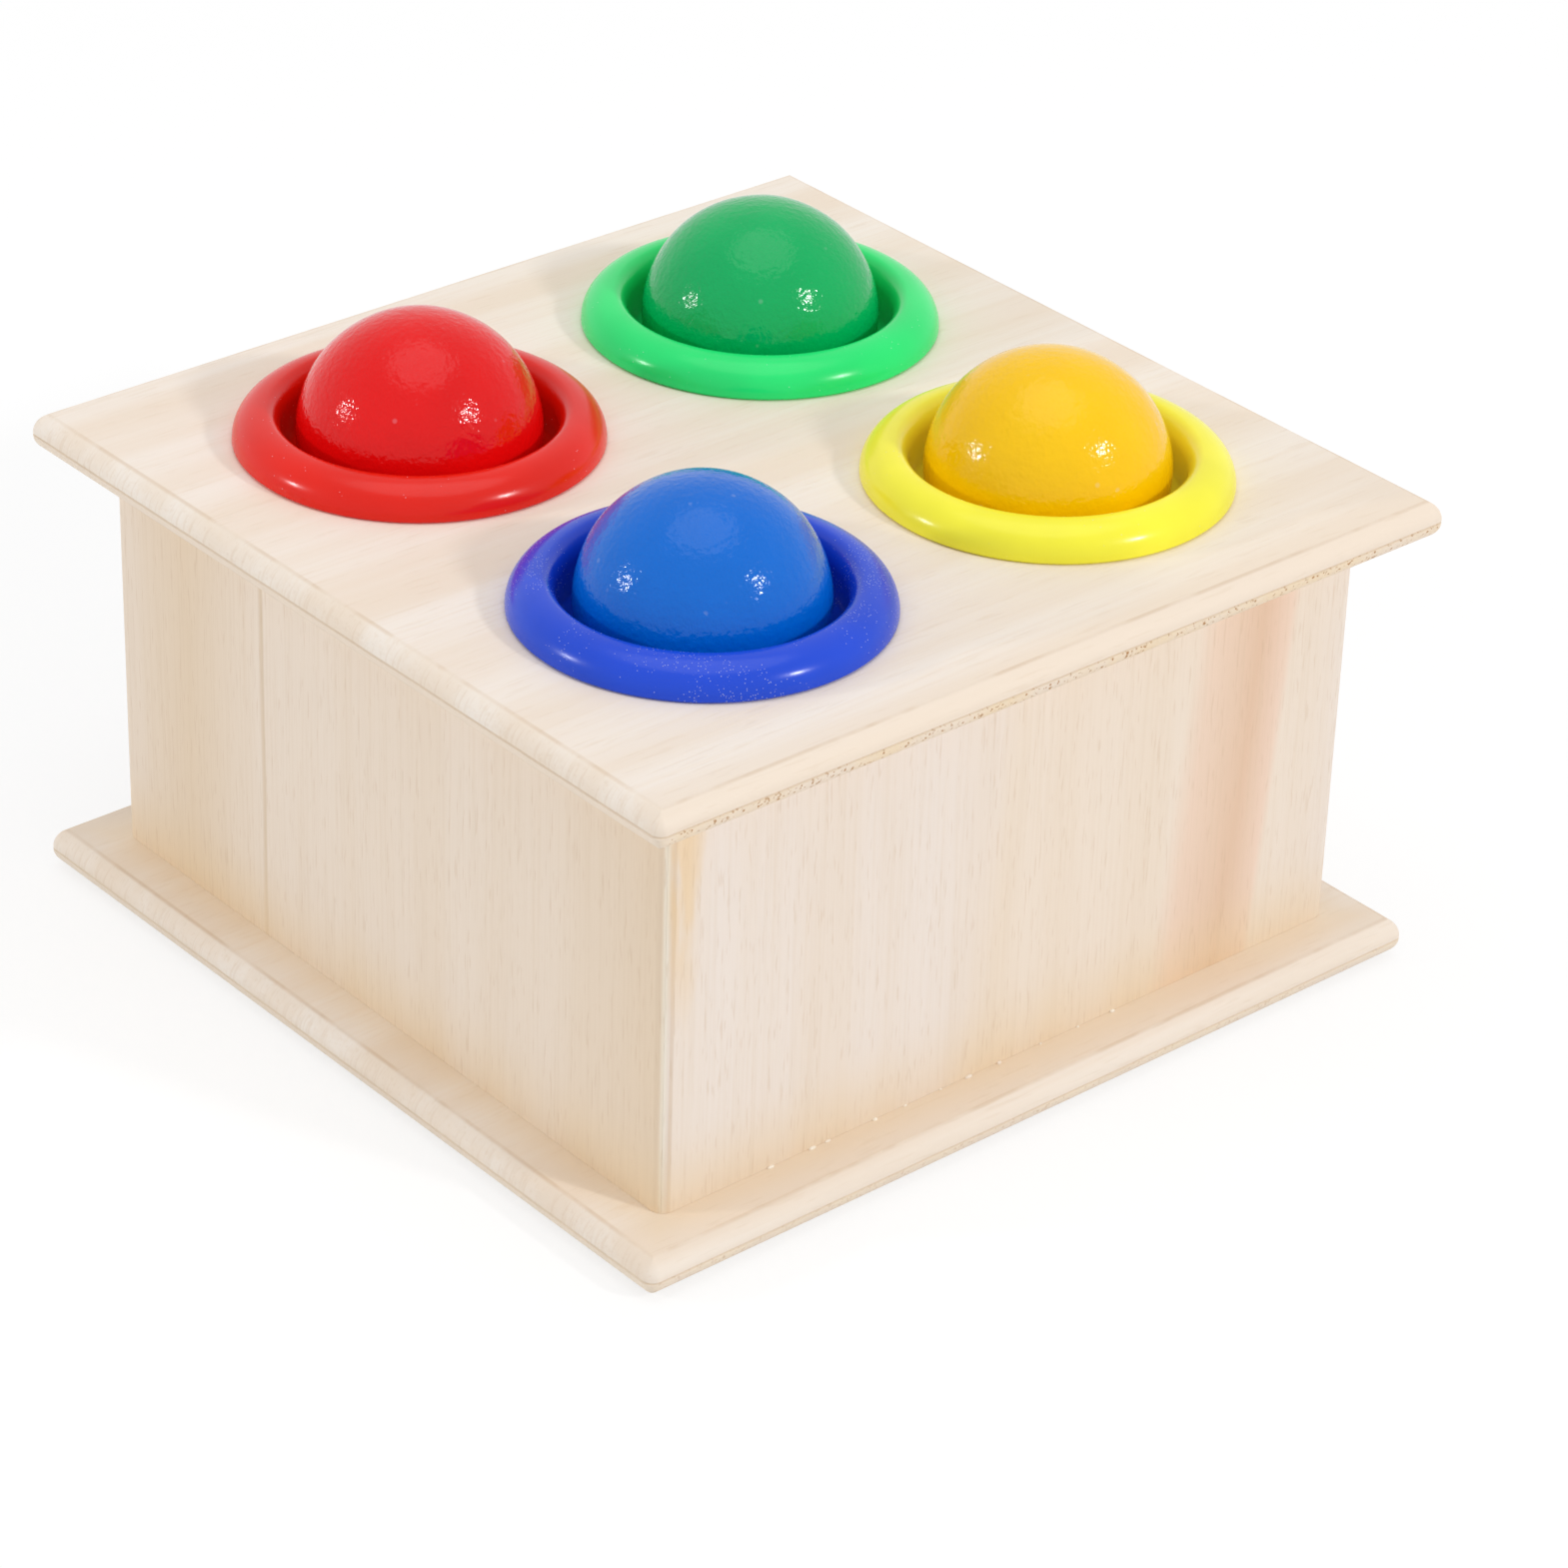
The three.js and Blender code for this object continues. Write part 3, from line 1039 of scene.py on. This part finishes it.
class BENCH_OT_glue(bpy.types.Operator):
    """Makes the beads of dried glue along the front wall's foot"""

    bl_idname = "bench.make_glue"
    bl_label = "Make glue beads"

    def execute(self, context):
        mesh = bead_mesh("glue_beads", context.scene.bench_sizes.bead)
        material = glue_material(context.scene.bench_colours)
        add_piece("glue_beads", mesh, material, ROOT_BODY)
        return {"FINISHED"}


class BENCH_OT_rings(bpy.types.Operator):
    """Makes the four plastic rings"""

    bl_idname = "bench.make_rings"
    bl_label = "Make rings"

    def execute(self, context):
        sizes = context.scene.bench_sizes
        colours = context.scene.bench_colours
        for station in STATIONS:
            node = station + "_ring"
            low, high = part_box(node)
            material = plastic_material(station, colours)
            mesh = ring_mesh(node + "_moulding", low, high, sizes)
            add_piece(node + "_moulding", mesh, material, ROOT_BODY, node)
        return {"FINISHED"}


class BENCH_OT_balls(bpy.types.Operator):
    """Makes the four painted balls"""

    bl_idname = "bench.make_balls"
    bl_label = "Make balls"

    def execute(self, context):
        sizes = context.scene.bench_sizes
        colours = context.scene.bench_colours
        for station in STATIONS:
            node = station + "_ball"
            low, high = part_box(node)
            material = paint_material(station, colours)
            mesh = ball_mesh(node + "_turned", low, high, sizes.unevenness)
            add_piece(node + "_turned", mesh, material, node, node)
        return {"FINISHED"}


# Studio


def seen_ray(tree):
    """One for rays that show the backdrop: from the camera, or by way of gloss or glass."""
    path = put(tree, "ShaderNodeLightPath").outputs
    gloss = reckon(tree, "MAXIMUM", path["Is Glossy Ray"], path["Is Transmission Ray"])
    return reckon(tree, "MAXIMUM", path["Is Camera Ray"], gloss)


def grey(level):
    """A neutral colour for a node's socket."""
    return (level, level, level, 1.0)


def floor_material():
    """A white floor that shows as white and still takes the bench's shadow."""
    material = bpy.data.materials.new("studio_floor")
    material.use_nodes = True
    tree = material.node_tree
    tree.nodes.clear()
    bounce = put(tree, "ShaderNodeBsdfDiffuse", {"Color": grey(FLOOR_BOUNCE)}).outputs[0]
    shade = put(tree, "ShaderNodeBsdfDiffuse", {"Color": grey(FLOOR_SHADE)}).outputs[0]
    glow = put(tree, "ShaderNodeEmission", {"Color": grey(1.0), "Strength": FLOOR_GLOW}).outputs[0]
    shown = put(tree, "ShaderNodeAddShader", {0: shade, 1: glow}).outputs[0]
    picked = put(tree, "ShaderNodeMixShader", {0: seen_ray(tree), 1: bounce, 2: shown}).outputs[0]
    put(tree, "ShaderNodeOutputMaterial", {"Surface": picked})
    return material


def add_floor():
    """A large round floor just under the bench."""
    bm = bmesh.new()
    rim = round_row(bm, Vector((0.0, 0.0)), FLOOR_RADIUS, -FLOOR_DROP, FLOOR_SIDES)
    bm.faces.new(rim)
    mesh = finished_mesh("studio_floor", bm)
    mesh.materials.append(floor_material())
    floor = bpy.data.objects.new("studio_floor", mesh)
    bpy.context.scene.collection.objects.link(floor)


def light_world(level):
    """Even light from all round, with a white backdrop."""
    world = bpy.data.worlds.new("studio_world")
    bpy.context.scene.world = world
    world.use_nodes = True
    tree = world.node_tree
    tree.nodes.clear()
    even = put(tree, "ShaderNodeBackground", {"Color": grey(1.0), "Strength": level}).outputs[0]
    white = put(tree, "ShaderNodeBackground", {"Color": grey(1.0), "Strength": 1.0}).outputs[0]
    picked = put(tree, "ShaderNodeMixShader", {0: seen_ray(tree), 1: even, 2: white}).outputs[0]
    put(tree, "ShaderNodeOutputWorld", {"Surface": picked})


def add_softbox(name, direction, reach, size, power):
    """A round softbox that faces the bench from a given direction."""
    lamp = bpy.data.lights.new(name, "AREA")
    lamp.shape = "DISK"
    lamp.size = size
    lamp.energy = power
    softbox = bpy.data.objects.new(name, lamp)
    bpy.context.scene.collection.objects.link(softbox)
    middle = (CAD_BOX[0] + CAD_BOX[1]) / 2
    softbox.location = middle + direction.normalized() * reach
    softbox.rotation_mode = "QUATERNION"
    softbox.rotation_quaternion = direction.to_track_quat("Z", "Y")


def camera_axes(studio):
    """The camera's right, up and back, as the columns of a matrix."""
    turn = studio.azimuth
    rise = studio.elevation
    back = Vector((math.sin(turn) * math.cos(rise), -math.cos(turn) * math.cos(rise), math.sin(rise)))
    level = Vector((math.cos(turn), math.sin(turn), 0.0))
    spin = Matrix.Rotation(studio.roll, 3, back)
    return Matrix((spin @ level, spin @ back.cross(level), back)).transposed()


def add_camera(axes, studio):
    """The camera, at its distance from the point that it looks at."""
    data = bpy.data.cameras.new("camera")
    data.lens = studio.lens
    data.sensor_width = SENSOR_WIDTH
    data.clip_start = CLIP_START
    camera = bpy.data.objects.new("camera", data)
    bpy.context.scene.collection.objects.link(camera)
    place = axes.to_4x4()
    place.translation = Vector(studio.target) + axes.col[2] * studio.distance
    camera.matrix_world = place
    bpy.context.scene.camera = camera


class BENCH_OT_stage(bpy.types.Operator):
    """Makes the floor, the lamps and the camera"""

    bl_idname = "bench.make_stage"
    bl_label = "Make stage"

    def execute(self, context):
        studio = context.scene.bench_studio
        axes = camera_axes(studio)
        add_camera(axes, studio)
        left_aim = axes @ Vector(LEFT_AIM)
        right_aim = axes @ Vector(RIGHT_AIM)
        overhead = Vector((0.0, 0.0, 1.0))
        add_softbox("left_softbox", left_aim, SIDE_REACH, LEFT_LAMP_SIZE, studio.left_power)
        add_softbox("right_softbox", right_aim, SIDE_REACH, RIGHT_LAMP_SIZE, studio.right_power)
        add_softbox("top_softbox", overhead, TOP_REACH, TOP_LAMP_SIZE, studio.top_power)
        add_floor()
        light_world(studio.sky)
        context.scene.view_settings.view_transform = "Standard"
        return {"FINISHED"}


class BENCH_PT_panel(bpy.types.Panel):
    """Buttons that make the bench piece by piece"""

    bl_idname = "BENCH_PT_panel"
    bl_label = "Pounding bench"
    bl_space_type = "VIEW_3D"
    bl_region_type = "UI"
    bl_category = "Bench"

    def draw(self, context):
        for operator in OPERATORS:
            self.layout.operator(operator.bl_idname)


GROUPS = {"bench_sizes": BenchSizes, "bench_colours": BenchColours, "bench_studio": BenchStudio}
OPERATORS = (
    BENCH_OT_boards,
    BENCH_OT_walls,
    BENCH_OT_glue,
    BENCH_OT_rings,
    BENCH_OT_balls,
    BENCH_OT_stage,
)


def register():
    """Adds the settings, operators and panel to Blender."""
    for key, group in GROUPS.items():
        bpy.utils.register_class(group)
        setattr(bpy.types.Scene, key, PointerProperty(type=group))
    for operator in OPERATORS:
        bpy.utils.register_class(operator)
    bpy.utils.register_class(BENCH_PT_panel)


def unregister():
    """Takes the settings, operators and panel out of Blender."""
    bpy.utils.unregister_class(BENCH_PT_panel)
    for operator in reversed(OPERATORS):
        bpy.utils.unregister_class(operator)
    for key, group in GROUPS.items():
        delattr(bpy.types.Scene, key)
        bpy.utils.unregister_class(group)


def main():
    """Makes the whole bench."""
    register()
    bpy.ops.bench.make_boards()
    bpy.ops.bench.make_walls()
    bpy.ops.bench.make_glue()
    bpy.ops.bench.make_rings()
    bpy.ops.bench.make_balls()
    bpy.ops.bench.make_stage()


if __name__ == "__main__":
    main()
